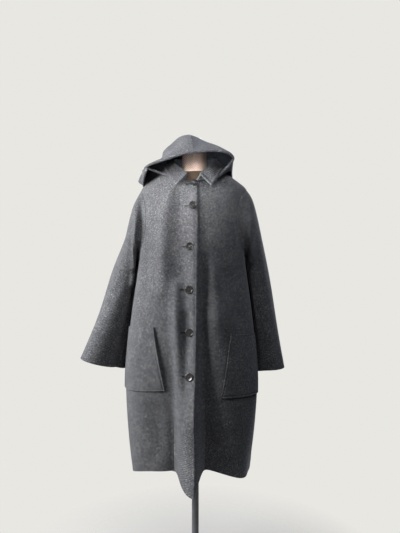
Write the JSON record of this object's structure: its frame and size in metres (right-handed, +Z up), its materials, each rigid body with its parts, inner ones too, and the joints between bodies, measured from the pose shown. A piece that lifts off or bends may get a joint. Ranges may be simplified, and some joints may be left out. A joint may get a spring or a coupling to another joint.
{
  "type": "hooded tweed coat on a dress form",
  "caption": "Knee-length hooded coat of thick tweed with a buttoned front, folded collar, patch pockets and wide sleeves, standing on a limbless dress form with a round base.",
  "frame": {"origin": "on the floor, at the middle of the round base's underside, on the axis of the pole", "axes": "+Z up along the pole, -Y towards the coat's front, +X towards the wearer's left"},
  "size_m": [0.7207, 0.4898, 1.57],
  "materials": {
    "tweed": "charcoal melange wool tweed with a short brushed nap",
    "horn": "dark polished horn look",
    "linen": "plain woven linen cover",
    "wood": "turned and varnished",
    "iron": "satin dark grey enamel"
  },
  "bodies": {
    "root": {"coat_back": "tweed", "coat_front_right": "tweed", "coat_front_left": "tweed", "sleeve_right": "tweed", "sleeve_left": "tweed", "collar": "tweed", "hood_right": "tweed", "hood_left": "tweed", "pocket_right": "tweed", "pocket_left": "tweed", "button_1": "horn", "button_2": "horn", "button_3": "horn", "button_4": "horn", "button_5": "horn", "button_6": "horn", "form_torso": "linen", "form_neck_cap": "wood", "form_pole": "iron", "form_base": "iron"}
  },
  "joints": []
}
